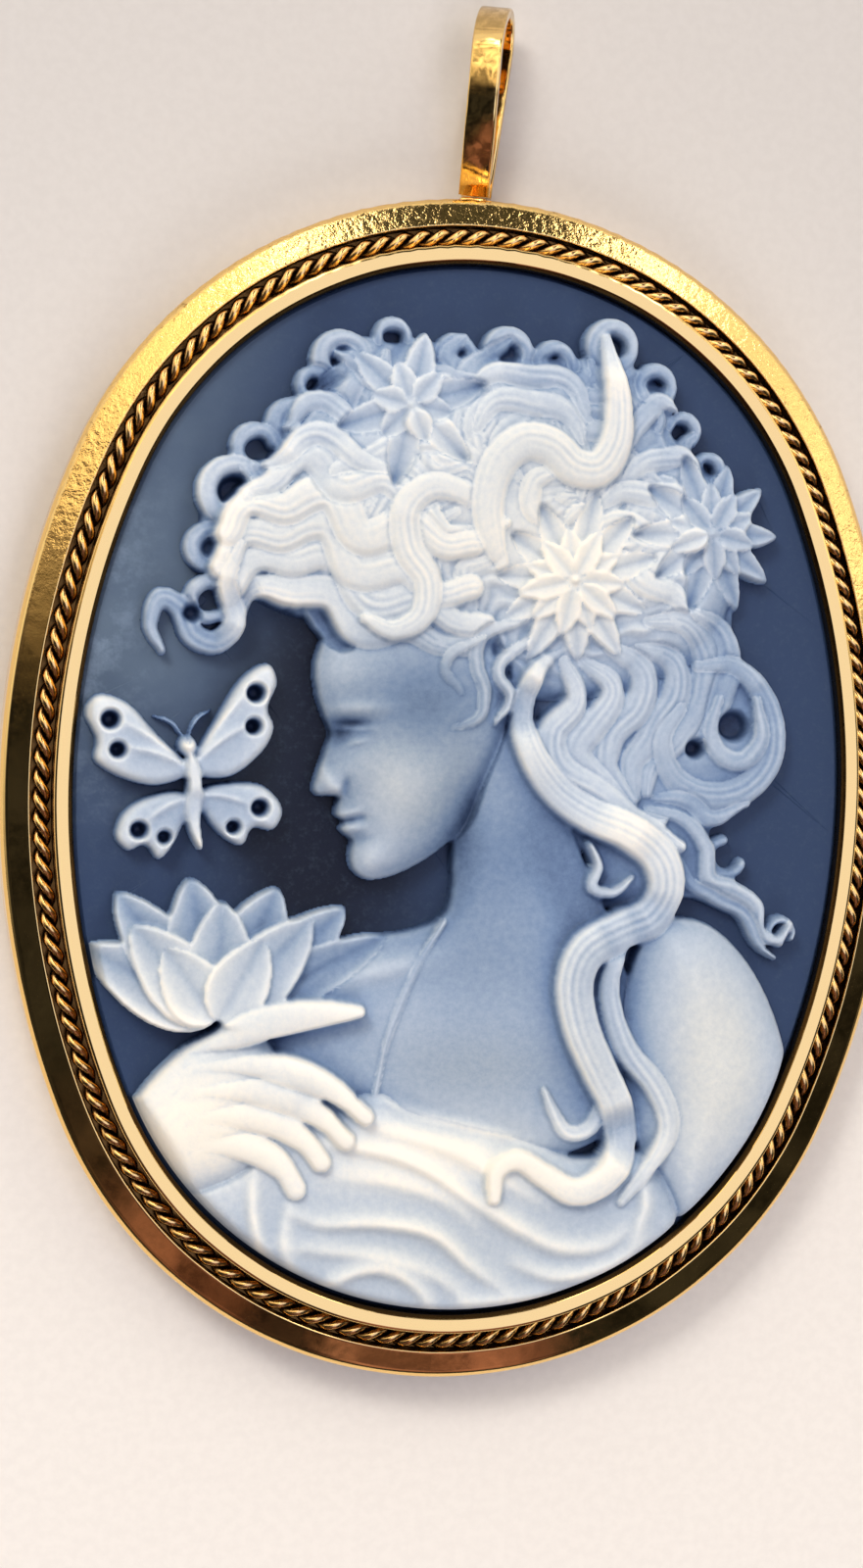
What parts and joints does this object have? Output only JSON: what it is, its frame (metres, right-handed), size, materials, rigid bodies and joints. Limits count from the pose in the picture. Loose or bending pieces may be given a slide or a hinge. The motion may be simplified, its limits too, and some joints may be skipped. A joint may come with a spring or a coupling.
{
  "type": "cameo pendant",
  "caption": "Oval cameo pendant: a carved layered stone in a gold bezel frame with a twisted wire trim and a strip bail for a chain.",
  "frame": {"origin": "middle of the whole part's outline, on the plane of the frame's back that it rests on", "axes": "+Z out of the carved face, +Y along the long axis towards the bail, +X to the right as the face is seen"},
  "size_m": [0.0344, 0.0518, 0.0053],
  "materials": {
    "gold_frame": "polished yellow gold with fine marks",
    "gold_wire": "polished yellow gold, darker in the twist",
    "gold_bail": "polished yellow gold",
    "agate": "matt carved agate, white over dark blue"
  },
  "bodies": {
    "root": {"setting": "gold_frame", "rope_wire": "gold_wire", "bail": "gold_bail", "cameo_stone": "agate"}
  },
  "joints": []
}
